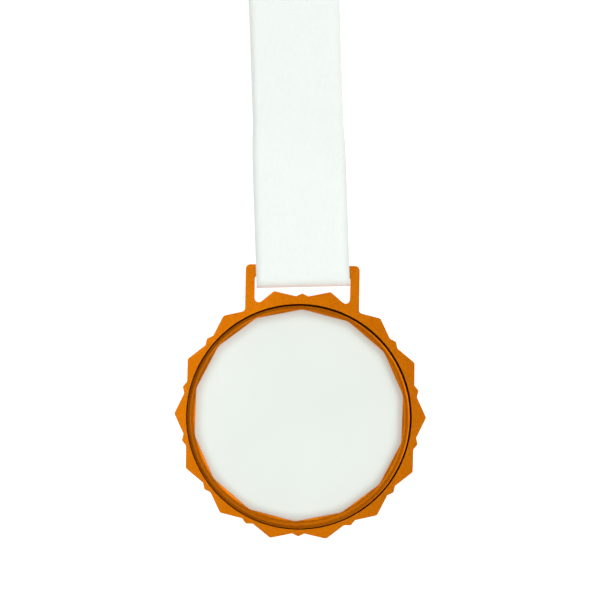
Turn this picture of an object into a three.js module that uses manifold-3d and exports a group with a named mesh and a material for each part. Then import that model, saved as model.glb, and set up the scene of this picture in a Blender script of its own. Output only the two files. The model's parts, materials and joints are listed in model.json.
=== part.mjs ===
// A finisher medal on its neck ribbon, lying face up.
// Millimetres, +Z up. The origin is the centre of the medal's flat back, +Y runs to the ribbon.
import * as THREE from "three";
import { mergeVertices } from "three/addons/utils/BufferGeometryUtils.js";
import Module from "manifold-3d";

// ---- Driving dimensions -------------------------------------------------

// Medal body: a die-cast plate with a scalloped edge of broad teeth.
const TEETH = 14;
const TIP_RADIUS = 33.8; // sharp corner of a tooth, before rounding
const VALLEY_RADIUS = 31.7;
const BUMP_RADIUS = 32.45; // the small bead between two teeth
const VALLEY_ANGLE = 2.93; // degrees from a bead to the valley at either side
const TIP_ROUND = 0.8;
const VALLEY_ROUND = 0.5;
const BUMP_ROUND = 0.45;
const BODY_THICKNESS = 4.0;

// Lug: two posts and a bar that carry the ribbon.
const LUG_HALF_WIDTH = 15.3;
const LUG_TOP = 40.4;
const LUG_CORNER = 1.25;
const LUG_FOOT_ROUND = 1.0;
const LUG_THICKNESS = 2.4;
const LUG_RELIEF_START = 34.0; // the lug is thin from here up, so the ribbon passes behind it
const SLOT_HALF_WIDTH = 12.85;
const BAR_HEIGHT = 3.2;
const SLOT_TOP_ROUND = 0.6;
const SLOT_FOOT_ROUND = 1.15;
const SLOT_FOOT_Y = 28.85; // where the flank of a tooth would reach the slot's side wall
const SLOT_TEETH_PROUD = 0.35; // the teeth inside the slot stand this much further out

// Round pocket in the front, cast slightly off centre.
const POCKET_RADIUS = 30.3;
const POCKET_CENTRE = { x: -0.34, y: -0.33 };
const POCKET_FLOOR = 1.6;

// What lies in the pocket, from the floor up.
const PAD_RADIUS = 28.6;
const PAD_THICKNESS = 0.2;
const PLATE_RADIUS = 29.6;
const PLATE_THICKNESS = 0.6;

// Bezel ring: a convex band with a fourteen-sided window.
const RING_RADIUS = 30.0;
const RING_CENTRE = { x: -0.5, y: -0.52 };
const RING_SHOULDER = 3.7; // height where the convex face starts, a little below the medal's own face
const RING_CREST = 3.92;
const RING_CREST_RADIUS = 28.9;
const RING_INNER_RADIUS = 27.0; // inside the window, which is cut from the turned ring
const WINDOW_APOTHEM = 27.8;
const WINDOW_CENTRE = { x: -0.38, y: 0.0 };
const WINDOW_TURN = -1.05; // degrees about +Z
const WINDOW_ROUND = 1.2;

// Neck ribbon: one woven band, looped round the bar, its ends lapped and sewn.
const RIBBON_WIDTH = 25.0;
const RIBBON_THICKNESS = 0.35;
const RIBBON_LEAN = 2.87; // degrees to the left of the medal's own axis
const FOLD_TILT = 2.2; // degrees, how far the folds' right ends stand above a line level with the bar
const LAYER_PITCH = 0.6; // from one folded layer to the next
const LOOP_BOTTOM = 34.5; // lowest point of the loop under the bar
const MEET_DISTANCE = 20.0; // from the bar to where the two legs come together
const MEET_HEIGHT = 6.2;
const BUNDLE_START = 86.0; // from the bar to the folded bundle
const BUNDLE_RUN = 50.0; // length of one fold
const FOLDED_LAYERS = 14;
const LAP_LENGTH = 24.0; // how far the two ends overlap
const LAP_INSET = 6.0; // from the bundle's near fold to the lapped end

// Box stitch through the lap.
const STITCH_BOX = { width: 17.0, length: 15.0 };
const THREAD = 0.35;

const ROUND_SEGMENTS = 84;
const CORNER_SEGMENTS = 2;

// ---- Materials ----------------------------------------------------------

const bronze = new THREE.MeshStandardMaterial({ color: 0xcf7408, roughness: 0.45, metalness: 0.8 });
const bezelBronze = new THREE.MeshStandardMaterial({ color: 0xb86a0c, roughness: 0.4, metalness: 0.8 });
const whiteCoat = new THREE.MeshStandardMaterial({ color: 0xe8eee6, roughness: 0.25, metalness: 0.0 });
const adhesive = new THREE.MeshStandardMaterial({ color: 0xd8d4c4, roughness: 0.9, metalness: 0.0 });
const satin = new THREE.MeshStandardMaterial({ color: 0xf6fcf5, roughness: 0.6, metalness: 0.0 });
const threadWhite = new THREE.MeshStandardMaterial({ color: 0xfafafa, roughness: 0.8, metalness: 0.0 });

// ---- Helpers ------------------------------------------------------------

const wasm = await Module();
wasm.setup();

const radians = THREE.MathUtils.degToRad;

/** A point at a radius and a clockwise angle in degrees from +Y. */
function clockPoint(radius, degrees) {
  return new THREE.Vector2(radius * Math.sin(radians(degrees)), radius * Math.cos(radians(degrees)));
}

/** A corner of an outline: where it is, and the radius that rounds it. */
function corner(point, round) {
  return { point, round };
}

/** A closed shape through corners, each one rounded by an arc. */
function roundedShape(corners) {
  const shape = new THREE.Shape();
  corners.forEach((current, i) => {
    const before = corners[(i + corners.length - 1) % corners.length].point;
    const after = corners[(i + 1) % corners.length].point;
    const toBefore = before.clone().sub(current.point).normalize();
    const toAfter = after.clone().sub(current.point).normalize();
    const half = Math.acos(toBefore.dot(toAfter)) / 2;
    const start = current.point.clone().addScaledVector(toBefore, current.round / Math.tan(half));
    const end = current.point.clone().addScaledVector(toAfter, current.round / Math.tan(half));
    const bisector = toBefore.clone().add(toAfter).normalize();
    const centre = current.point.clone().addScaledVector(bisector, current.round / Math.sin(half));
    const from = start.clone().sub(centre).angle();
    const to = end.clone().sub(centre).angle();
    const clockwise = toBefore.cross(toAfter) > 0;
    if (i === 0) shape.moveTo(start.x, start.y);
    else shape.lineTo(start.x, start.y);
    shape.absarc(centre.x, centre.y, current.round, from, to, clockwise);
  });
  shape.closePath();
  return shape;
}

/** A flat plate of a shape, from one height to another. */
function plate(shape, low, high) {
  const geometry = new THREE.ExtrudeGeometry(shape, {
    depth: high - low,
    bevelEnabled: false,
    curveSegments: CORNER_SEGMENTS,
  });
  return geometry.translate(0, 0, low);
}

/** A disc about +Z, from one height to another. */
function disc(radius, centre, low, high) {
  const geometry = new THREE.CylinderGeometry(radius, radius, high - low, ROUND_SEGMENTS);
  return geometry.rotateX(Math.PI / 2).translate(centre.x, centre.y, (low + high) / 2);
}

/** A block between two corners. */
function block(low, high) {
  const geometry = new THREE.BoxGeometry(high[0] - low[0], high[1] - low[1], high[2] - low[2]);
  return geometry.translate((low[0] + high[0]) / 2, (low[1] + high[1]) / 2, (low[2] + high[2]) / 2);
}

/** The same geometry with only positions and shared vertices. */
function welded(geometry) {
  const bare = geometry.clone();
  bare.deleteAttribute("normal");
  bare.deleteAttribute("uv");
  return mergeVertices(bare, 1e-5);
}

/** A geometry as a solid that can be joined and cut. */
function solid(geometry) {
  const mesh = welded(geometry);
  return new wasm.Manifold(
    new wasm.Mesh({
      numProp: 3,
      vertProperties: new Float32Array(mesh.attributes.position.array),
      triVerts: new Uint32Array(mesh.index.array),
    }),
  );
}

/** A solid back as a geometry. */
function geometryOf(manifold) {
  const mesh = manifold.getMesh();
  const geometry = new THREE.BufferGeometry();
  geometry.setAttribute("position", new THREE.BufferAttribute(mesh.vertProperties, 3));
  geometry.setIndex(new THREE.BufferAttribute(mesh.triVerts, 1));
  geometry.computeVertexNormals();
  return geometry;
}

function piece(name, geometry, material) {
  const mesh = new THREE.Mesh(geometry, material);
  mesh.name = name;
  return mesh;
}

// ---- Medal frame --------------------------------------------------------

/** The corners of one bead and the tooth after it, clockwise. */
function toothCorners(index, proud = 0) {
  const pitch = 360 / TEETH;
  const bead = index * pitch;
  return [
    corner(clockPoint(VALLEY_RADIUS + proud, bead - VALLEY_ANGLE), VALLEY_ROUND),
    corner(clockPoint(BUMP_RADIUS + proud, bead), BUMP_ROUND),
    corner(clockPoint(VALLEY_RADIUS + proud, bead + VALLEY_ANGLE), VALLEY_ROUND),
    corner(clockPoint(TIP_RADIUS + proud, bead + pitch / 2), TIP_ROUND),
  ];
}

/** The scalloped edge with the lug's posts rising from the valleys beside the top two teeth. */
function frameOutline() {
  const footHeight = clockPoint(VALLEY_RADIUS, 360 / TEETH + VALLEY_ANGLE).y;
  const edge = [];
  for (let index = 1; index < TEETH; index += 1) edge.push(...toothCorners(index));
  const scallops = edge.slice(3, -3); // the first and last beads lie under the posts
  const posts = [
    corner(new THREE.Vector2(-LUG_HALF_WIDTH, footHeight), LUG_FOOT_ROUND),
    corner(new THREE.Vector2(-LUG_HALF_WIDTH, LUG_TOP), LUG_CORNER),
    corner(new THREE.Vector2(LUG_HALF_WIDTH, LUG_TOP), LUG_CORNER),
    corner(new THREE.Vector2(LUG_HALF_WIDTH, footHeight), LUG_FOOT_ROUND),
  ];
  return roundedShape([...scallops.slice(0, -1), ...posts].reverse());
}

/** The slot: straight sides, and a lower edge that follows the top two teeth. */
function slotOutline() {
  const [leftValley, bead, rightValley, rightTip] = toothCorners(0, SLOT_TEETH_PROUD);
  const leftTip = corner(new THREE.Vector2(-rightTip.point.x, rightTip.point.y), TIP_ROUND);
  const slotTop = LUG_TOP - BAR_HEIGHT;
  return roundedShape([
    corner(new THREE.Vector2(-SLOT_HALF_WIDTH, slotTop), SLOT_TOP_ROUND),
    corner(new THREE.Vector2(-SLOT_HALF_WIDTH, SLOT_FOOT_Y), SLOT_FOOT_ROUND),
    leftTip,
    leftValley,
    bead,
    rightValley,
    rightTip,
    corner(new THREE.Vector2(SLOT_HALF_WIDTH, SLOT_FOOT_Y), SLOT_FOOT_ROUND),
    corner(new THREE.Vector2(SLOT_HALF_WIDTH, slotTop), SLOT_TOP_ROUND),
  ]);
}

function medalFrame() {
  const below = -1;
  const above = BODY_THICKNESS + 1;
  const reliefTop = BODY_THICKNESS - LUG_THICKNESS;
  const body = solid(plate(frameOutline(), 0, BODY_THICKNESS));
  const slot = solid(plate(slotOutline(), below, above));
  const relief = solid(
    block(
      [-LUG_HALF_WIDTH - 1, LUG_RELIEF_START, below],
      [LUG_HALF_WIDTH + 1, LUG_TOP + 1, reliefTop],
    ),
  );
  const pocket = solid(disc(POCKET_RADIUS, POCKET_CENTRE, POCKET_FLOOR, above));
  const cast = body.subtract(slot).subtract(relief).subtract(pocket);
  return piece("medal_frame", geometryOf(cast), bronze);
}

// ---- Insert -------------------------------------------------------------

const PAD_TOP = POCKET_FLOOR + PAD_THICKNESS;
const PLATE_TOP = PAD_TOP + PLATE_THICKNESS;

function adhesivePad() {
  return piece("adhesive_pad", disc(PAD_RADIUS, POCKET_CENTRE, POCKET_FLOOR, PAD_TOP), adhesive);
}

function insertPlate() {
  return piece("insert_plate", disc(PLATE_RADIUS, POCKET_CENTRE, PAD_TOP, PLATE_TOP), whiteCoat);
}

// ---- Bezel ring ---------------------------------------------------------

/** The ring's section, counter-clockwise: a foot on the plate and a convex face. */
function ringSection() {
  const reach = RING_RADIUS - RING_CREST_RADIUS;
  const rise = RING_CREST - RING_SHOULDER;
  const bow = (reach * reach + rise * rise) / (2 * rise);
  const centreHeight = RING_CREST - bow;
  const steps = 10;
  const section = [];
  for (let i = 0; i <= steps; i += 1) {
    const radius = RING_RADIUS + ((RING_INNER_RADIUS - RING_RADIUS) * i) / steps;
    const offset = radius - RING_CREST_RADIUS;
    section.push(new THREE.Vector2(radius, centreHeight + Math.sqrt(bow * bow - offset * offset)));
  }
  section.push(new THREE.Vector2(RING_INNER_RADIUS, PLATE_TOP));
  section.push(new THREE.Vector2(RING_RADIUS, PLATE_TOP));
  section.push(section[0].clone());
  return section;
}

/** The window: a polygon with a corner towards each bead of the medal's edge. */
function windowOutline() {
  const cornerRadius = WINDOW_APOTHEM / Math.cos(Math.PI / TEETH);
  const corners = [];
  for (let i = 0; i < TEETH; i += 1) {
    const point = clockPoint(cornerRadius, -(360 / TEETH) * i - WINDOW_TURN);
    point.add(new THREE.Vector2(WINDOW_CENTRE.x, WINDOW_CENTRE.y));
    corners.push(corner(point, WINDOW_ROUND));
  }
  return roundedShape(corners);
}

function bezelRing() {
  const band = new THREE.LatheGeometry(ringSection(), ROUND_SEGMENTS).rotateX(Math.PI / 2);
  band.translate(RING_CENTRE.x, RING_CENTRE.y, 0);
  const cutter = solid(plate(windowOutline(), PLATE_TOP - 1, RING_CREST + 1));
  return piece("bezel_ring", geometryOf(solid(band).subtract(cutter)), bezelBronze);
}

// ---- Ribbon -------------------------------------------------------------

const PIVOT_Y = LUG_TOP - BAR_HEIGHT / 2;
const PIVOT_Z = BODY_THICKNESS - LUG_THICKNESS / 2;
const FLOOR_LAYER = RIBBON_THICKNESS / 2;
const BUNDLE_END = BUNDLE_START + BUNDLE_RUN;

/** Height of the middle of a folded layer, counted from the lowest. */
function layerHeight(layer) {
  return FLOOR_LAYER + layer * LAYER_PITCH;
}

/** Points of a half turn between two heights. side is +1 at the bundle's far end, -1 at its near end. */
function halfTurn(distance, fromHeight, toHeight, side) {
  const radius = Math.abs(toHeight - fromHeight) / 2;
  const middle = (fromHeight + toHeight) / 2;
  const steps = radius < LAYER_PITCH ? 6 : 10;
  const rising = Math.sign(toHeight - fromHeight);
  const points = [];
  for (let i = 0; i <= steps; i += 1) {
    const angle = -Math.PI / 2 + (Math.PI * i) / steps;
    const along = distance + side * radius * Math.cos(angle);
    points.push(new THREE.Vector2(along, middle + rising * radius * Math.sin(angle)));
  }
  return points;
}

/** Both legs of the loop folded to and fro together, from one layer down to the lowest pair. */
function foldedLeg(firstLayer) {
  const points = [];
  let layer = firstLayer;
  let side = 1;
  while (layer > 1) {
    const outer = (FOLDED_LAYERS - layer) % 2 === 1;
    const next = layer - (outer ? 3 : 1);
    const distance = side > 0 ? BUNDLE_END : BUNDLE_START;
    points.push(...halfTurn(distance, layerHeight(layer), layerHeight(next), side));
    layer = next;
    side = -side;
  }
  return points;
}

/** A gentle rise from one point to another, level at both ends. */
function slope(from, to, steps) {
  const points = [];
  for (let i = 0; i <= steps; i += 1) {
    const share = i / steps;
    const ease = (1 - Math.cos(Math.PI * share)) / 2;
    points.push(new THREE.Vector2(from.x + (to.x - from.x) * share, from.y + (to.y - from.y) * ease));
  }
  return points;
}

/** The middle line of the whole band, from the upper sewn end round to the lower one. */
function ribbonLine() {
  const radius = PIVOT_Z - FLOOR_LAYER;
  const loopCentre = LOOP_BOTTOM + RIBBON_THICKNESS / 2 + radius - PIVOT_Y;
  const top = layerHeight(FOLDED_LAYERS);
  const upperEnd = new THREE.Vector2(BUNDLE_START + LAP_INSET + LAP_LENGTH, top);
  const bundleTop = new THREE.Vector2(BUNDLE_START, top);
  const frontBar = new THREE.Vector2(loopCentre, PIVOT_Z + radius);
  const backBar = new THREE.Vector2(loopCentre, PIVOT_Z - radius);
  const frontMeet = new THREE.Vector2(MEET_DISTANCE, MEET_HEIGHT);
  const backMeet = new THREE.Vector2(MEET_DISTANCE, MEET_HEIGHT - LAYER_PITCH);
  const backTop = new THREE.Vector2(BUNDLE_START, layerHeight(FOLDED_LAYERS - 2));
  const front = [upperEnd, ...slope(bundleTop, frontMeet, 8), ...slope(frontMeet, frontBar, 6).slice(1)];
  const loop = halfTurn(loopCentre, frontBar.y, backBar.y, -1).slice(1);
  const back = [...slope(backBar, backMeet, 8).slice(1), ...slope(backMeet, backTop, 8).slice(1)];
  const backFolds = foldedLeg(FOLDED_LAYERS - 2);
  const farEnd = halfTurn(BUNDLE_END, layerHeight(0), layerHeight(1), 1);
  const frontFolds = foldedLeg(FOLDED_LAYERS - 1).reverse();
  const lowerEnd = new THREE.Vector2(BUNDLE_START + LAP_INSET, layerHeight(FOLDED_LAYERS - 1));
  return [...front, ...loop, ...back, ...backFolds, ...farEnd, ...frontFolds, lowerEnd];
}

/** A line given its thickness: out along one side and back along the other. */
function thickened(line, thickness) {
  const sides = [[], []];
  line.forEach((point, i) => {
    const before = line[Math.max(i - 1, 0)];
    const after = line[Math.min(i + 1, line.length - 1)];
    const inward = point.clone().sub(before).normalize();
    const outward = after.clone().sub(point).normalize();
    const tangent = inward.add(outward).normalize();
    const normal = new THREE.Vector2(-tangent.y, tangent.x);
    sides[0].push(point.clone().addScaledVector(normal, thickness / 2));
    sides[1].push(point.clone().addScaledVector(normal, -thickness / 2));
  });
  return new THREE.Shape([...sides[0], ...sides[1].reverse()]);
}

/** Turns a section drawn along the ribbon and up into a band across its width. */
function acrossWidth(geometry, width) {
  const turn = new THREE.Matrix4().makeBasis(
    new THREE.Vector3(0, 1, 0),
    new THREE.Vector3(0, 0, 1),
    new THREE.Vector3(1, 0, 0),
  );
  return geometry.applyMatrix4(turn).translate(-width / 2, 0, 0);
}

/** Leans a geometry to the left as it runs up, and tilts its folds by a smaller angle. */
function leaning(geometry) {
  const lean = -Math.tan(radians(RIBBON_LEAN));
  const tilt = Math.tan(radians(FOLD_TILT));
  return geometry.applyMatrix4(new THREE.Matrix4().makeShear(tilt, 0, lean, 0, 0, 0));
}

function ribbon() {
  const section = thickened(ribbonLine(), RIBBON_THICKNESS);
  const band = new THREE.ExtrudeGeometry(section, { depth: RIBBON_WIDTH, bevelEnabled: false });
  return piece("ribbon", leaning(acrossWidth(band, RIBBON_WIDTH)), satin);
}

/** The thread that shows on the lap: a box of stitches. */
function seamThread() {
  const halfWidth = STITCH_BOX.width / 2;
  const middle = BUNDLE_START + LAP_INSET + LAP_LENGTH / 2;
  const low = middle - STITCH_BOX.length / 2;
  const high = middle + STITCH_BOX.length / 2;
  const outline = new THREE.Shape();
  outline.moveTo(-halfWidth, low);
  outline.lineTo(halfWidth, low);
  outline.lineTo(halfWidth, high);
  outline.lineTo(-halfWidth, high);
  outline.closePath();
  const inside = new THREE.Path();
  inside.moveTo(-halfWidth + THREAD, low + THREAD);
  inside.lineTo(-halfWidth + THREAD, high - THREAD);
  inside.lineTo(halfWidth - THREAD, high - THREAD);
  inside.lineTo(halfWidth - THREAD, low + THREAD);
  inside.closePath();
  outline.holes.push(inside);
  const base = layerHeight(FOLDED_LAYERS) + RIBBON_THICKNESS / 2 + 0.05;
  return piece("seam_thread", leaning(plate(outline, base, base + THREAD)), threadWhite);
}

// ---- Assembly -----------------------------------------------------------

const medal = new THREE.Group();
medal.add(medalFrame(), adhesivePad(), insertPlate(), bezelRing());

const neckRibbon = new THREE.Group();
neckRibbon.add(ribbon(), seamThread());
neckRibbon.position.set(0, PIVOT_Y, 0);

const group = new THREE.Group();
group.add(medal, neckRibbon);

export default group;
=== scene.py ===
# %% [markdown]
# # A finisher medal and its neck ribbon
# The medal is a bronze-coloured casting with a scalloped edge. A convex ring lies in its round
# pocket and frames a blank white disc, and a white satin ribbon runs through the lug at the top.
# The CAD model gives every size and place. This file adds the finish: rounded edges, plated metal
# with a fine grain, a gloss coated disc, and a ribbon of real length folded for storage.

import json
import math

import bmesh
import bpy
from mathutils import Matrix, Vector


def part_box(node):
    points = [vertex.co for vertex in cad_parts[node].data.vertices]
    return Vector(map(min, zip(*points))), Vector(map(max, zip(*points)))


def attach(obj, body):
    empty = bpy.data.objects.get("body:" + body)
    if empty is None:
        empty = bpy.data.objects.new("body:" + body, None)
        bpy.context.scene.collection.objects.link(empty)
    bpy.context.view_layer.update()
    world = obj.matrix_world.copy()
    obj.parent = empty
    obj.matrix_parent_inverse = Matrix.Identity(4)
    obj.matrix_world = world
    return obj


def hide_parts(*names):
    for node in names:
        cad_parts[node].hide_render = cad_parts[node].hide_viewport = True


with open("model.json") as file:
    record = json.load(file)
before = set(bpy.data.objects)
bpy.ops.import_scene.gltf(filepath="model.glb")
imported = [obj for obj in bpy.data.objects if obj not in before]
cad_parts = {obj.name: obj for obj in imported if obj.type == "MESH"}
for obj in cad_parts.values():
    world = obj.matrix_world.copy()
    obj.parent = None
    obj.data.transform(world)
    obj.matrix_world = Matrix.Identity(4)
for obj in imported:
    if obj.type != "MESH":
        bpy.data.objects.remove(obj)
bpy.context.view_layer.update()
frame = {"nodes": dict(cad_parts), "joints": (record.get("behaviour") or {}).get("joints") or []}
MM = 0.001

# %% [markdown]
# ## The camera
# The medal lies on its back and the camera hangs straight above it, far enough away for a long
# lens, so no side walls show. It is turned by one degree, because the medal lies slightly askew.
# The view is centred above the lug, so that half of it is ribbon, which runs out at the far edge.

# %% Place the camera
CAMERA_HEIGHT = 0.75
VIEW_WIDTH = 0.161
VIEW_CENTRE = Vector((-0.0006, 0.0310))
CAMERA_TURN = math.radians(1.0)
SENSOR_WIDTH = 36.0

face_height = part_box("medal_frame")[1].z
half_angle = math.atan(VIEW_WIDTH / 2 / (CAMERA_HEIGHT - face_height))
camera_data = bpy.data.cameras.new("camera")
camera_data.sensor_width = SENSOR_WIDTH
camera_data.lens = SENSOR_WIDTH / 2 / math.tan(half_angle)
camera = bpy.data.objects.new("camera", camera_data)
camera.location = (*VIEW_CENTRE, CAMERA_HEIGHT)
camera.rotation_euler = (0, 0, CAMERA_TURN)
bpy.context.collection.objects.link(camera)
bpy.context.scene.camera = camera
print(f"lens {camera_data.lens:.0f} mm, half angle {math.degrees(half_angle):.1f} degrees")

# %% [markdown]
# ## Light
# Satin metal shows the room more than its own colour, so the lights are placed for their
# reflections. A narrow softbox close beside the camera, on the left, is seen in the flat face and
# fades towards the right. A wide key on the right shows only in the ring's slopes. Eight low lamps
# in a circle light the white parts from all sides, too low for the flat face to reflect them, so
# the rim of the white disc falls off evenly. The dim dome fills the rest. The view transform is
# Standard, because a white background and clean whites matter more here than a film-like roll-off.

# %% Add the lights
MEDAL_MIDDLE = Vector((0.0, 0.0, 0.0))


def softbox(name, bearing, elevation, distance, size, power):
    """A rectangular area light aimed at the medal. The bearing is anticlockwise from +X."""
    across, up = math.radians(bearing), math.radians(elevation)
    level = distance * math.cos(up)
    place = Vector((level * math.cos(across), level * math.sin(across), distance * math.sin(up)))
    data = bpy.data.lights.new(name, "AREA")
    data.shape = "RECTANGLE"
    data.size, data.size_y = size
    data.energy = power
    lamp = bpy.data.objects.new(name, data)
    lamp.location = place
    lamp.rotation_euler = (MEDAL_MIDDLE - place).to_track_quat("-Z", "Y").to_euler()
    bpy.context.collection.objects.link(lamp)


softbox(
    "beside_camera", bearing=175.0, elevation=82.4, distance=0.504, size=(0.20, 0.07), power=0.102
)
softbox("key", bearing=12.0, elevation=50.0, distance=1.0, size=(1.1, 0.35), power=1.5)
LOW_LAMPS = 8
for k in range(LOW_LAMPS):
    bearing = 360.0 / LOW_LAMPS * k
    softbox(f"low_{k}", bearing, elevation=32.0, distance=1.0, size=(0.4, 0.4), power=1.45)

DOME_STRENGTH = 0.38
world = bpy.data.worlds.new("studio")
world.use_nodes = True
bpy.context.scene.world = world
dome = world.node_tree.nodes["Background"]
dome.inputs["Color"].default_value = (1.0, 1.0, 1.0, 1.0)
dome.inputs["Strength"].default_value = DOME_STRENGTH
bpy.context.scene.view_settings.view_transform = "Standard"
bpy.context.scene.view_settings.look = "None"
print(f"{len(bpy.data.lights)} softboxes under a dome of strength {DOME_STRENGTH}")

# %% [markdown]
# ## Small helpers
# A new piece starts as a bmesh, becomes an object at the origin, and rides on a CAD body. Faces
# are shaded smooth, and edges that turn by more than 30 degrees stay sharp. Where a piece has broad
# level faces, those are shaded flat, or its rounded edges would pull the shading across them.

# %% Piece helpers
SHARP_ANGLE = math.radians(30)
LEVEL_NORMAL = 0.999


def finish_piece(bm, name, body, material, replaced, level_flat=False):
    """Turns a bmesh into an object that rides on a body and stands for a CAD node."""
    mesh = bpy.data.meshes.new(name)
    bmesh.ops.recalc_face_normals(bm, faces=bm.faces)
    for face in bm.faces:
        face.smooth = not (level_flat and abs(face.normal.z) > LEVEL_NORMAL)
    for edge in bm.edges:
        edge.smooth = len(edge.link_faces) != 2 or edge.calc_face_angle() < SHARP_ANGLE
    bm.to_mesh(mesh)
    bm.free()
    piece = bpy.data.objects.new(name, mesh)
    bpy.context.collection.objects.link(piece)
    mesh.materials.append(material)
    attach(piece, body)
    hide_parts(replaced)
    print(f"{name}: {len(mesh.polygons)} faces")
    return piece


def new_material(name):
    """An empty node material: its tree, its shader, and object coordinates in metres."""
    material = bpy.data.materials.new(name)
    material.use_nodes = True
    tree = material.node_tree
    shader = tree.nodes["Principled BSDF"]
    place = tree.nodes.new("ShaderNodeTexCoord")
    return material, tree, shader, place


def noise_node(tree, coordinates, scale, detail=2.0, roughness=0.5):
    """A noise texture whose grain is 1 / scale metres across."""
    node = tree.nodes.new("ShaderNodeTexNoise")
    node.inputs["Scale"].default_value = scale
    node.inputs["Detail"].default_value = detail
    node.inputs["Roughness"].default_value = roughness
    tree.links.new(coordinates, node.inputs["Vector"])
    return node


def ramp_node(tree, factor, stops):
    """A colour ramp through (position, colour) stops."""
    node = tree.nodes.new("ShaderNodeValToRGB")
    elements = node.color_ramp.elements
    elements[0].position, elements[0].color = stops[0]
    elements[1].position, elements[1].color = stops[-1]
    for position, colour in stops[1:-1]:
        elements.new(position).color = colour
    tree.links.new(factor, node.inputs["Fac"])
    return node


def bump_node(tree, height, distance, under=None):
    """A bump of a real depth, on top of another bump if one is given."""
    node = tree.nodes.new("ShaderNodeBump")
    node.inputs["Strength"].default_value = 1.0
    node.inputs["Distance"].default_value = distance
    tree.links.new(height, node.inputs["Height"])
    if under is not None:
        tree.links.new(under, node.inputs["Normal"])
    return node.outputs["Normal"]


# %% [markdown]
# ## Bronze plating
# The casting is tumbled and plated, so its face is satin with a grain of a few tenths of a
# millimetre. Two noises do this: a fine one moves the colour, roughness and height of the grain,
# and a broad one makes the slow clouds that plating always has. The same function, a little
# smoother, finishes the ring. Painted shade in a dark brown fills the gap between the ring and its
# pocket. The same painted shade spreads inwards over the ring's rim as a painted shadow of the
# pocket wall, wider on the left, where the ring sits against the wall.


# %% Make the bronze
plate_low, plate_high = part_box("insert_plate")
POCKET_CENTRE = (plate_low + plate_high) / 2
POCKET_RADIUS = 30.3 * MM
SHOULDER_DROP = 0.22 * MM
ring_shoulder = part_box("bezel_ring")[1].z - SHOULDER_DROP
# Dark brown painted shade for the gap round the ring and the wall's shadow on its rim.
PAINTED_SHADE = (0.06, 0.015, 0.004, 1)
# How far in, how much further on the left, and how dark the painted shadow on the ring's rim is.
SHADE_WIDTH = 1.1 * MM
SHADE_LEFT_BIAS = 0.018
SHADE_AMOUNT = 0.55
GAP_ZONE = 1.3 * MM
WALL_ZONE = 0.15 * MM
GRAIN_SCALE = 2300.0
CLOUD_SCALE = 90.0
CLOUD_SHARE = 0.3
ROUGHNESS_SWING = 0.05
print(f"pocket {2 * POCKET_RADIUS / MM:.1f} mm across, ring's rim at {ring_shoulder / MM:.2f} mm")


def map_range(tree, value, low, high, amount=1.0):
    """0 at low and amount at high, straight between them and level outside."""
    node = tree.nodes.new("ShaderNodeMapRange")
    node.inputs["From Min"].default_value = low
    node.inputs["From Max"].default_value = high
    node.inputs["To Max"].default_value = amount
    tree.links.new(value, node.inputs["Value"])
    return node.outputs["Result"]


def math_node(tree, operation, first, second):
    """A math node between a socket and another socket or a number."""
    node = tree.nodes.new("ShaderNodeMath")
    node.operation = operation
    tree.links.new(first, node.inputs[0])
    if isinstance(second, float):
        node.inputs[1].default_value = second
    else:
        tree.links.new(second, node.inputs[1])
    return node.outputs["Value"]


def painted_shade_factor(tree, coordinates):
    """How dark the painted shade is: it fills the gap and spreads onto the ring's rim as painted
    shadow, most on the left.
    """
    centred = tree.nodes.new("ShaderNodeMapping")
    centred.inputs["Location"].default_value = (-POCKET_CENTRE.x, -POCKET_CENTRE.y, 0)
    tree.links.new(coordinates, centred.inputs["Vector"])
    axes = tree.nodes.new("ShaderNodeSeparateXYZ")
    tree.links.new(centred.outputs["Vector"], axes.inputs["Vector"])
    flat = tree.nodes.new("ShaderNodeVectorMath")
    flat.operation = "MULTIPLY"
    flat.inputs[1].default_value = (1, 1, 0)
    tree.links.new(centred.outputs["Vector"], flat.inputs[0])
    from_middle = tree.nodes.new("ShaderNodeVectorMath")
    from_middle.operation = "LENGTH"
    tree.links.new(flat.outputs["Vector"], from_middle.inputs[0])
    radius = from_middle.outputs["Value"]
    height = axes.outputs["Z"]
    # The painted shadow of the pocket wall reaches further in on the left side of the pocket.
    leftward = math_node(tree, "MULTIPLY", axes.outputs["X"], -SHADE_LEFT_BIAS)
    shifted = math_node(tree, "ADD", radius, leftward)
    rim_shade = map_range(tree, shifted, POCKET_RADIUS - SHADE_WIDTH, POCKET_RADIUS, SHADE_AMOUNT)
    # Inside the gap, the walls below the ring's rim are painted dark as shade.
    in_gap = math_node(tree, "GREATER_THAN", radius, POCKET_RADIUS - GAP_ZONE)
    deep = map_range(tree, height, ring_shoulder - 0.02 * MM, ring_shoulder - 0.15 * MM)
    darkest = math_node(tree, "MAXIMUM", rim_shade, math_node(tree, "MULTIPLY", deep, in_gap))
    in_pocket = math_node(tree, "LESS_THAN", radius, POCKET_RADIUS + WALL_ZONE)
    below_face = map_range(tree, height, face_height - 0.02 * MM, face_height - 0.06 * MM)
    allowed = math_node(tree, "MULTIPLY", in_pocket, below_face)
    return math_node(tree, "MULTIPLY", darkest, allowed)


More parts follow.
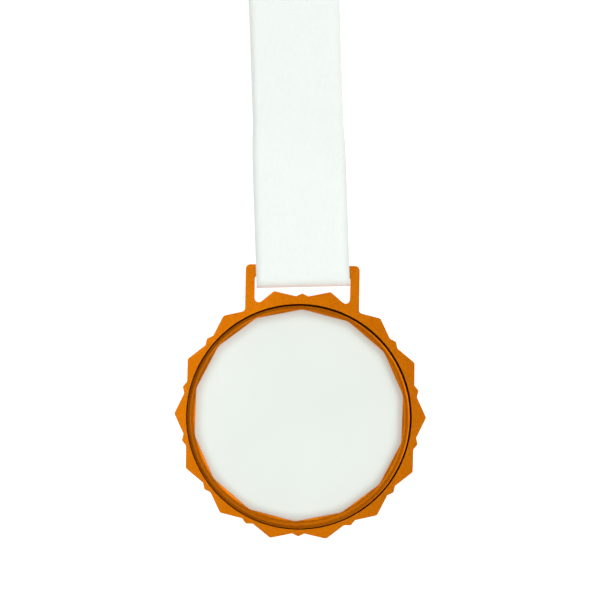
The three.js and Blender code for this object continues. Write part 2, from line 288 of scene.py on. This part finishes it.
def bronze_material(name, dark, light, roughness, grain_depth):
    """Satin orange-bronze plating between two colours, with painted shade round the ring."""
    material, tree, shader, place = new_material(name)
    grain = noise_node(tree, place.outputs["Object"], GRAIN_SCALE, detail=2.0, roughness=0.6)
    clouds = noise_node(tree, place.outputs["Object"], CLOUD_SCALE, detail=3.0)
    mixed = tree.nodes.new("ShaderNodeMix")
    mixed.data_type = "FLOAT"
    mixed.inputs["Factor"].default_value = CLOUD_SHARE
    tree.links.new(grain.outputs["Fac"], mixed.inputs["A"])
    tree.links.new(clouds.outputs["Fac"], mixed.inputs["B"])
    colour = ramp_node(tree, mixed.outputs["Result"], [(0.4, dark), (0.6, light)])
    # The plating colour is mixed towards the painted shade in the gap and on the ring's rim.
    shaded_colour = tree.nodes.new("ShaderNodeMix")
    shaded_colour.data_type = "RGBA"
    shaded_colour.inputs["B"].default_value = PAINTED_SHADE
    tree.links.new(painted_shade_factor(tree, place.outputs["Object"]), shaded_colour.inputs["Factor"])
    tree.links.new(colour.outputs["Color"], shaded_colour.inputs["A"])
    tree.links.new(shaded_colour.outputs["Result"], shader.inputs["Base Color"])
    rough = tree.nodes.new("ShaderNodeMapRange")
    rough.inputs["From Min"].default_value = 0.3
    rough.inputs["From Max"].default_value = 0.7
    rough.inputs["To Min"].default_value = roughness - ROUGHNESS_SWING
    rough.inputs["To Max"].default_value = roughness + ROUGHNESS_SWING
    tree.links.new(grain.outputs["Fac"], rough.inputs["Value"])
    tree.links.new(rough.outputs["Result"], shader.inputs["Roughness"])
    tree.links.new(bump_node(tree, grain.outputs["Fac"], grain_depth), shader.inputs["Normal"])
    shader.inputs["Metallic"].default_value = 1.0
    return material


frame_bronze = bronze_material(
    "frame_bronze",
    dark=(0.77, 0.197, 0.002, 1),
    light=(0.91, 0.245, 0.004, 1),
    roughness=0.36,
    grain_depth=0.03 * MM,
)
bezel_bronze = bronze_material(
    "bezel_bronze",
    dark=(0.59, 0.143, 0.002, 1),
    light=(0.69, 0.177, 0.003, 1),
    roughness=0.32,
    grain_depth=0.02 * MM,
)

# %% [markdown]
# ## The cast frame
# On the real medal the scalloped plate, the lug and the pocket are one casting, with edges worn
# round by tumbling. The CAD node already has that exact outline, so the quickest true shape is a
# welded copy of it: flat triangles are dissolved into plain faces and every square edge gets a
# small bevel. The edges of the copy that only turn a little are parts of arcs and stay unbevelled.

# %% Build the frame casting
EDGE_ROUND = 0.18 * MM
SQUARE_EDGE = math.radians(60)
PLAIN_ANGLE = math.radians(1)


def welded_copy(node):
    """A CAD node's mesh with its triangles joined into plain faces."""
    bm = bmesh.new()
    bm.from_mesh(frame["nodes"][node].data)
    bmesh.ops.remove_doubles(bm, verts=bm.verts, dist=0.001 * MM)
    bmesh.ops.dissolve_limit(
        bm, angle_limit=PLAIN_ANGLE, verts=bm.verts, edges=bm.edges, use_dissolve_boundaries=False
    )
    return bm


def square_edges(bm):
    """The edges where two faces meet at about a right angle."""
    return [e for e in bm.edges if len(e.link_faces) == 2 and e.calc_face_angle() > SQUARE_EDGE]


casting = welded_copy("medal_frame")
bmesh.ops.bevel(
    casting,
    geom=square_edges(casting),
    offset=EDGE_ROUND,
    offset_type="OFFSET",
    segments=3,
    profile=0.5,
    affect="EDGES",
    material=-1,
    clamp_overlap=True,
)
finish_piece(
    casting,
    "frame_casting",
    "medal",
    frame_bronze,
    "medal_frame",
    level_flat=True,
)

# %% [markdown]
# ## The bezel ring
# The ring is turned first and its window is cut after, so its face is part of a round bead and the
# window's edge climbs towards each corner. A boolean would leave slivers there. Spinning the
# section and then pulling its inner side in to the window keeps clean rows of four-sided faces.

# %% Read the ring's sizes from the frame
ring_low, ring_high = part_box("bezel_ring")
plate_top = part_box("insert_plate")[1].z
RING_RADIUS = (ring_high.x - ring_low.x) / 2
RING_CENTRE = Vector(((ring_low.x + ring_high.x) / 2, (ring_low.y + ring_high.y) / 2))
CREST_INSET = 1.1 * MM
SIDES = 14
WINDOW_APOTHEM = 27.8 * MM
WINDOW_CENTRE = Vector((-0.38 * MM, 0.0))
WINDOW_TURN = math.radians(1.05)
WINDOW_ROUND = 4.0 * MM
SEARCH_ROUNDS = 12
crest_radius = RING_RADIUS - CREST_INSET
bow = (CREST_INSET**2 + SHOULDER_DROP**2) / (2 * SHOULDER_DROP)
print(f"ring {2 * RING_RADIUS / MM:.1f} mm across, its face bowed at a radius of {bow / MM:.2f} mm")


# %% Shape the ring
def bead_height(radius):
    """Height of the ring's convex face at a distance from its middle."""
    return ring_high.z - bow + math.sqrt(bow**2 - (radius - crest_radius) ** 2)


def window_radius(angle):
    """Distance from the window's middle to its edge, at a clockwise angle from +Y."""
    step = 2 * math.pi / SIDES
    from_corner = abs((angle - WINDOW_TURN + step / 2) % step - step / 2)
    half = step / 2
    round_centre = (WINDOW_APOTHEM - WINDOW_ROUND) / math.cos(half)
    tangent = half - math.atan((WINDOW_APOTHEM - WINDOW_ROUND) * math.tan(half) / WINDOW_APOTHEM)
    if from_corner > tangent:
        return WINDOW_APOTHEM / math.cos(half - from_corner)
    across = round_centre * math.sin(from_corner)
    return round_centre * math.cos(from_corner) + math.sqrt(WINDOW_ROUND**2 - across**2)


def reach_to_window(direction):
    """Distance from the ring's middle to the window's edge along a direction."""
    reach = WINDOW_APOTHEM
    for _ in range(SEARCH_ROUNDS):
        offset = RING_CENTRE + direction * reach - WINDOW_CENTRE
        reach += window_radius(math.atan2(offset.x, offset.y)) - offset.length
    return reach


RING_STEPS = 28 * SIDES
FACE_STEPS = 14
CORNER_ROUND = 0.12 * MM
SPUN_INSET = 2.0 * MM

ring = bmesh.new()
section = []


def section_point(inset, height):
    """Adds a point to the ring's section, at a distance in from its rim."""
    section.append(ring.verts.new((RING_CENTRE.x + RING_RADIUS - inset, RING_CENTRE.y, height)))


section_point(0.0, plate_top)
section_point(0.0, bead_height(RING_RADIUS) - 2 * CORNER_ROUND)
section_point(0.15 * CORNER_ROUND, bead_height(RING_RADIUS) - CORNER_ROUND)
for index in range(FACE_STEPS + 1):
    inset = CORNER_ROUND + (SPUN_INSET - 1.3 * CORNER_ROUND) * index / FACE_STEPS
    section_point(inset, bead_height(RING_RADIUS - inset))
inner_height = bead_height(RING_RADIUS - SPUN_INSET)
section_point(SPUN_INSET, inner_height - 0.4 * CORNER_ROUND)
section_point(SPUN_INSET, plate_top)
edges = [ring.edges.new((a, b)) for a, b in zip(section, section[1:] + section[:1])]
bmesh.ops.spin(
    ring,
    geom=section + edges,
    cent=(*RING_CENTRE, 0),
    axis=(0, 0, 1),
    angle=2 * math.pi,
    steps=RING_STEPS,
    use_merge=True,
)
for vert in ring.verts:
    offset = vert.co.xy - RING_CENTRE
    share = (RING_RADIUS - offset.length) / SPUN_INSET
    direction = offset.normalized()
    radius = RING_RADIUS - share * (RING_RADIUS - reach_to_window(direction))
    if vert.co.z > plate_top + CORNER_ROUND:
        vert.co.z += bead_height(radius) - bead_height(offset.length)
    vert.co.xy = RING_CENTRE + direction * radius
finish_piece(ring, "bezel_band", "medal", bezel_bronze, "bezel_ring")

# %% [markdown]
# ## The white disc
# The insert is a thin metal disc with a gloss white coating, left blank. Its CAD node has the right
# shape, so only the finish is added: a hard clear top over white, with the faint unevenness that a
# baked coating has. The adhesive pad below it is hidden, and gets a plain mottled film.

# %% Finish the insert and the pad
coating, tree, shader, place = new_material("white_coating")
orange_peel = noise_node(tree, place.outputs["Object"], 700.0, detail=1.0)
patches = noise_node(tree, place.outputs["Object"], 40.0, detail=2.0)
tint = ramp_node(
    tree, patches.outputs["Fac"], [(0.3, (0.75, 0.80, 0.75, 1)), (0.7, (0.77, 0.825, 0.77, 1))]
)
tree.links.new(tint.outputs["Color"], shader.inputs["Base Color"])
tree.links.new(bump_node(tree, orange_peel.outputs["Fac"], 0.004 * MM), shader.inputs["Normal"])
shader.inputs["Roughness"].default_value = 0.35
shader.inputs["Coat Weight"].default_value = 0.3
shader.inputs["Coat Roughness"].default_value = 0.12

film, tree, shader, place = new_material("adhesive_film")
mottle = noise_node(tree, place.outputs["Object"], 900.0)
tint = ramp_node(
    tree, mottle.outputs["Fac"], [(0.3, (0.62, 0.58, 0.46, 1)), (0.7, (0.72, 0.69, 0.58, 1))]
)
tree.links.new(tint.outputs["Color"], shader.inputs["Base Color"])
shader.inputs["Roughness"].default_value = 0.7

for node, material in (("insert_plate", coating), ("adhesive_pad", film)):
    carried = frame["nodes"][node]
    carried.data.materials.clear()
    carried.data.materials.append(material)

# %% [markdown]
# ## Satin ribbon
# Satin is woven so that long warp threads float on the surface and lie side by side. Close up it
# shows fine dashes, and the whole band has a soft sheen. The pattern follows the band, so it reads
# the band's own UV map, where one unit is one metre in both directions.

# %% Make the satin
FLOAT_LENGTH = 1.1 * MM
FLOAT_WIDTH = 0.32 * MM
FLOAT_GAP = 0.05 * MM


def satin_material():
    """White satin, with rows of long floats along the band."""
    material, tree, shader, place = new_material("white_satin")
    floats = tree.nodes.new("ShaderNodeTexBrick")
    floats.offset = 0.4
    floats.inputs["Scale"].default_value = 1.0
    floats.inputs["Brick Width"].default_value = FLOAT_LENGTH
    floats.inputs["Row Height"].default_value = FLOAT_WIDTH
    floats.inputs["Mortar Size"].default_value = FLOAT_GAP
    floats.inputs["Mortar Smooth"].default_value = 1.0
    floats.inputs["Color1"].default_value = (0.92, 0.965, 0.925, 1)
    floats.inputs["Color2"].default_value = (0.89, 0.945, 0.90, 1)
    floats.inputs["Mortar"].default_value = (0.82, 0.88, 0.83, 1)
    turned = tree.nodes.new("ShaderNodeMapping")
    turned.inputs["Rotation"].default_value[2] = math.radians(90)
    tree.links.new(place.outputs["UV"], turned.inputs["Vector"])
    tree.links.new(turned.outputs["Vector"], floats.inputs["Vector"])
    tree.links.new(floats.outputs["Color"], shader.inputs["Base Color"])
    slub = noise_node(tree, place.outputs["UV"], 900.0, detail=2.0)
    grain = bump_node(tree, slub.outputs["Fac"], 0.02 * MM)
    weave = tree.nodes.new("ShaderNodeMath")
    weave.operation = "SUBTRACT"
    weave.inputs[0].default_value = 1.0
    tree.links.new(floats.outputs["Fac"], weave.inputs[1])
    threads = bump_node(tree, weave.outputs["Value"], 0.04 * MM, under=grain)
    tree.links.new(threads, shader.inputs["Normal"])
    shader.inputs["Roughness"].default_value = 0.5
    shader.inputs["Sheen Weight"].default_value = 0.25
    shader.inputs["Sheen Roughness"].default_value = 0.4
    return material


white_satin = satin_material()
print(f"floats of {FLOAT_LENGTH / MM:.1f} by {FLOAT_WIDTH / MM:.2f} mm")

# %% [markdown]
# ## The ribbon's route
# The band is one strip about 0.9 m long. From its sewn end on top of the bundle it comes down to
# the medal, turns round the lug's bar, goes back just below itself, and is folded to and fro with
# itself seven times. Where it lies free it twists a little, as a band does that was folded by hand.
# The route is a list of stations: a distance along the ribbon, a height, and how far down the
# bundle they lie. Straight stretches need few stations, and folds need many.

# %% Sizes of the route
ribbon_joint = next(joint for joint in frame["joints"] if joint["name"] == "ribbon_swing")
PIVOT = Vector(ribbon_joint["pos_m"])
RIBBON_WIDTH = 25.0 * MM
RIBBON_THICKNESS = 0.35 * MM
RIBBON_LEAN = math.radians(2.87)
FOLD_TILT = math.radians(2.2)
LAYER_PITCH = 0.6 * MM
LAYERS = 14
LOOP_CENTRE = -1.5 * MM
MEET = Vector((20.0 * MM, 6.2 * MM))
BUNDLE_START = 86.0 * MM
BUNDLE_END = 136.0 * MM
LAP_INSET = 6.0 * MM
LAP_LENGTH = 24.0 * MM
TWIST = math.radians(15.0)
STEP = 1.5 * MM
FOLD_WANDER = 0.9 * MM
FOLD_STEPS = 8
BAR_STEPS = 16
print(f"{LAYERS} layers, {(BUNDLE_END - BUNDLE_START) / MM:.0f} mm long, in the bundle")


# %% Lay out the stations
def layer_height(layer):
    """Height of the middle of a layer of the bundle, counted from the table."""
    return RIBBON_THICKNESS / 2 + layer * LAYER_PITCH


def fold_place(turn, side):
    """Where the band turns back, in and out by up to a millimetre from fold to fold."""
    return (BUNDLE_END if side > 0 else BUNDLE_START) + FOLD_WANDER * math.sin(2.3 * turn + 0.7)


def straight(start, end, run):
    """Stations from one point to another, easing in and out of the height."""
    count = max(2, round((end - start).length / STEP))
    stations = []
    for index in range(count + 1):
        share = index / count
        ease = (1 - math.cos(math.pi * share)) / 2
        along = start.x + (end.x - start.x) * share
        stations.append((Vector((along, start.y + (end.y - start.y) * ease)), run))
    return stations


def half_turn(along, start_height, end_height, side, run, next_run):
    """Stations round a fold, passing from one run of the bundle to the next."""
    radius = (end_height - start_height) / 2
    count = FOLD_STEPS if abs(radius) < LAYER_PITCH else BAR_STEPS
    stations = []
    for index in range(count + 1):
        share = index / count
        angle = math.pi * (share - 0.5)
        height = (start_height + end_height) / 2 + radius * math.sin(angle)
        point = Vector((along + side * abs(radius) * math.cos(angle), height))
        stations.append((point, run + (next_run - run) * share))
    return stations


def folded_leg(layer, start):
    """One leg of the loop through the bundle, from its top run down to its lowest."""
    stations = []
    here = Vector((start, layer_height(layer)))
    side = 1
    for run in range(LAYERS // 2 - 1):
        outer = (LAYERS - layer) % 2 == 1
        below = layer - (3 if outer else 1)
        along = fold_place(run, side)
        fold = half_turn(along, layer_height(layer), layer_height(below), side, run, run + 1)
        stations += straight(here, Vector((along, layer_height(layer))), run)[:-1] + fold
        here = Vector((along, layer_height(below)))
        layer, side = below, -side
    return stations


bar_reach = PIVOT.z - RIBBON_THICKNESS / 2
top = layer_height(LAYERS)
front_bar = Vector((LOOP_CENTRE, PIVOT.z + bar_reach))
back_bar = Vector((LOOP_CENTRE, PIVOT.z - bar_reach))
below_meet = Vector((MEET.x, MEET.y - LAYER_PITCH))
lap_end = Vector((BUNDLE_START + LAP_INSET + LAP_LENGTH, top))
over_edge = Vector((BUNDLE_START, top))
back_top = Vector((BUNDLE_START, layer_height(LAYERS - 2)))
last_run = LAYERS // 2 - 1
far_fold = fold_place(last_run, 1)
lower_end = BUNDLE_START + LAP_INSET

route = straight(lap_end, over_edge, 0) + straight(over_edge, MEET, 0)[1:]
route += straight(MEET, front_bar, 0)[1:]
route += half_turn(LOOP_CENTRE, front_bar.y, back_bar.y, -1, 0, 0)[1:]
route += straight(back_bar, below_meet, 0)[1:] + straight(below_meet, back_top, 0)[1:]
route += folded_leg(LAYERS - 2, BUNDLE_START)[1:]
lowest = Vector((route[-1][0].x, layer_height(0)))
route += straight(lowest, Vector((far_fold, layer_height(0))), last_run)[1:-1]
route += half_turn(far_fold, layer_height(0), layer_height(1), 1, last_run, last_run)
front_leg = folded_leg(LAYERS - 1, lower_end)
second = Vector((front_leg[-1][0].x, layer_height(1)))
route += straight(Vector((far_fold, layer_height(1))), second, last_run)[1:-1]
route += front_leg[::-1]

# %% [markdown]
# ## Weaving the band along its route
# The band starts as one row of vertices across its width, and each station extrudes that row and
# sets the new one down. In the bundle every run drifts sideways a little, as hand folding does, so
# the folded edges don't line up. The UV map is written as the rows are made.

# %% Build the band
ACROSS = 12
BUNDLE_DRIFT = (0.35, -0.6, 0.5, -0.3, 0.7, -0.5, 0.2)
TWIST_IN = (25.0 * MM, 42.0 * MM)
TWIST_OUT = (73.0 * MM, 86.0 * MM)


def smooth_share(value, low, high):
    """0 below low, 1 above high, and a smooth step between."""
    share = min(1.0, max(0.0, (value - low) / (high - low)))
    return share * share * (3 - 2 * share)


def drift(point, run):
    """Sideways place and slant of the band in the bundle at a run."""
    lower = min(int(run), len(BUNDLE_DRIFT) - 1)
    upper = min(lower + 1, len(BUNDLE_DRIFT) - 1)
    share = run - lower
    slants = [math.radians(BUNDLE_DRIFT[i]) for i in (lower, upper)]
    slant = slants[0] + (slants[1] - slants[0]) * share
    fold = BUNDLE_END if lower % 2 == 0 else BUNDLE_START
    inside = smooth_share(point.x, BUNDLE_START - 20 * MM, BUNDLE_START)
    return inside * slant * (point.x - fold), inside * slant


def twist_at(along):
    """How far the band is turned about its length at a distance from the bar."""
    return TWIST * smooth_share(along, *TWIST_IN) * (1 - smooth_share(along, *TWIST_OUT))


def row_points(index):
    """The points of one row of the band, in the row frame."""
    point, run = route[index]
    before = route[max(index - 1, 0)][0]
    after = route[min(index + 1, len(route) - 1)][0]
    tangent = (after - before).normalized()
    upright = 1 if tangent.x >= 0 else -1
    normal = Vector((0, -tangent.y * upright, abs(tangent.x)))
    sideways, slant = drift(point, run)
    across = Vector((1, -slant, 0)).normalized()
    turn = twist_at(point.x)
    row = across * math.cos(turn) + normal * math.sin(turn)
    middle = Vector((sideways, point.x, point.y))
    return [middle + row * RIBBON_WIDTH * (i / ACROSS - 0.5) for i in range(ACROSS + 1)]


askew = Matrix.Identity(4)
askew[0][1] = -math.tan(RIBBON_LEAN)
askew[1][0] = math.tan(FOLD_TILT)
to_frame = Matrix.Translation((PIVOT.x, PIVOT.y, 0)) @ askew
band = bmesh.new()
uv_layer = band.loops.layers.uv.new("weave")
metres = {}
row = [band.verts.new(to_frame @ point) for point in row_points(0)]
row_edges = [band.edges.new(pair) for pair in zip(row, row[1:])]
travelled = 0.0
for column, vert in enumerate(row):
    metres[vert] = (RIBBON_WIDTH * column / ACROSS, travelled)
for index in range(1, len(route)):
    made = bmesh.ops.extrude_edge_only(band, edges=row_edges)["geom"]
    fresh = {v for v in made if isinstance(v, bmesh.types.BMVert)}
    next_row = [
        next(e.other_vert(vert) for e in vert.link_edges if e.other_vert(vert) in fresh)
        for vert in row
    ]
    travelled += (route[index][0] - route[index - 1][0]).length
    for column, (vert, point) in enumerate(zip(next_row, row_points(index))):
        vert.co = to_frame @ point
        metres[vert] = (RIBBON_WIDTH * column / ACROSS, travelled)
    row = next_row
    row_edges = [band.edges.get(pair) for pair in zip(row, row[1:])]
for face in band.faces:
    for loop in face.loops:
        loop[uv_layer].uv = metres[loop.vert]

ribbon_band = finish_piece(
    band, "ribbon_band", "neck_ribbon", white_satin, "ribbon"
)
thickness = ribbon_band.modifiers.new("thickness", "SOLIDIFY")
thickness.thickness = RIBBON_THICKNESS
thickness.offset = 0

# %% [markdown]
# ## The sewn lap
# The two ends overlap by 24 mm on top of the bundle, and a box of stitches with a cross in it holds
# them. One stitch is a small ball drawn out to a grain of rice and sunk halfway into the satin. It
# is repeated along each line of the seam, a little off line, as a machine's lockstitch is.

# %% Make the thread
thread, tree, shader, place = new_material("white_thread")
fibres = noise_node(tree, place.outputs["Object"], 6000.0, detail=2.0)
tint = ramp_node(
    tree, fibres.outputs["Fac"], [(0.3, (0.72, 0.77, 0.73, 1)), (0.7, (0.90, 0.94, 0.90, 1))]
)
tree.links.new(tint.outputs["Color"], shader.inputs["Base Color"])
tree.links.new(bump_node(tree, fibres.outputs["Fac"], 0.04 * MM), shader.inputs["Normal"])
shader.inputs["Roughness"].default_value = 0.6

# %% Sew the box
STITCH_LENGTH = 2.1 * MM
STITCH_GAP = 0.5 * MM
THREAD_THICKNESS = 0.34 * MM
SEAM_WIDTH = 17.0 * MM
SEAM_LENGTH = 15.0 * MM
STITCH_LEAN = math.radians(4.0)

seam_middle = BUNDLE_START + LAP_INSET + LAP_LENGTH / 2
seam_height = top + RIBBON_THICKNESS / 2
corners = [
    Vector((x * SEAM_WIDTH / 2, seam_middle + y * SEAM_LENGTH / 2))
    for x, y in ((-1, -1), (1, -1), (1, 1), (-1, 1))
]
seam_lines = list(zip(corners, corners[1:] + corners[:1]))
seam_lines += [(corners[0], corners[2]), (corners[1], corners[3])]

stitches = bmesh.new()
for start, end in seam_lines:
    length = (end - start).length
    count = round(length / (STITCH_LENGTH + STITCH_GAP))
    heading = math.atan2((end - start).y, (end - start).x)
    for index in range(count):
        centre = start.lerp(end, (index + 0.5) / count)
        place_stitch = Matrix.Translation((*centre, seam_height))
        turn_stitch = Matrix.Rotation(heading + STITCH_LEAN, 4, "Z")
        shape = Matrix.Diagonal((STITCH_LENGTH / 2, THREAD_THICKNESS / 2, THREAD_THICKNESS / 2, 1))
        bmesh.ops.create_uvsphere(
            stitches,
            u_segments=10,
            v_segments=8,
            radius=1.0,
            matrix=to_frame @ place_stitch @ turn_stitch @ shape,
        )
finish_piece(stitches, "seam_stitches", "neck_ribbon", thread, "seam_thread")

# %% [markdown]
# ## The table
# The floor is a sheet of opal acrylic lit from below. Its own light hides the shadows, so the
# object stands on plain white.

# %% Lay the table
TABLE_DROP = 0.05 * MM
TABLE_SIZE = 4.0
table_surface, tree, shader, place = new_material("opal_table")
shader.inputs["Base Color"].default_value = (0.35, 0.35, 0.35, 1)
shader.inputs["Roughness"].default_value = 0.8
shader.inputs["Specular IOR Level"].default_value = 0.0
shader.inputs["Emission Color"].default_value = (1, 1, 1, 1)
shader.inputs["Emission Strength"].default_value = 0.95
plain = bmesh.new()
bmesh.ops.create_grid(plain, x_segments=1, y_segments=1, size=TABLE_SIZE)
bmesh.ops.translate(plain, vec=(0, 0, -TABLE_DROP), verts=plain.verts)
table_mesh = bpy.data.meshes.new("table")
plain.to_mesh(table_mesh)
plain.free()
table_mesh.materials.append(table_surface)
table = bpy.data.objects.new("table", table_mesh)
bpy.context.collection.objects.link(table)
print(f"table {2 * TABLE_SIZE:.0f} m across, {TABLE_DROP / MM:.2f} mm below the medal")
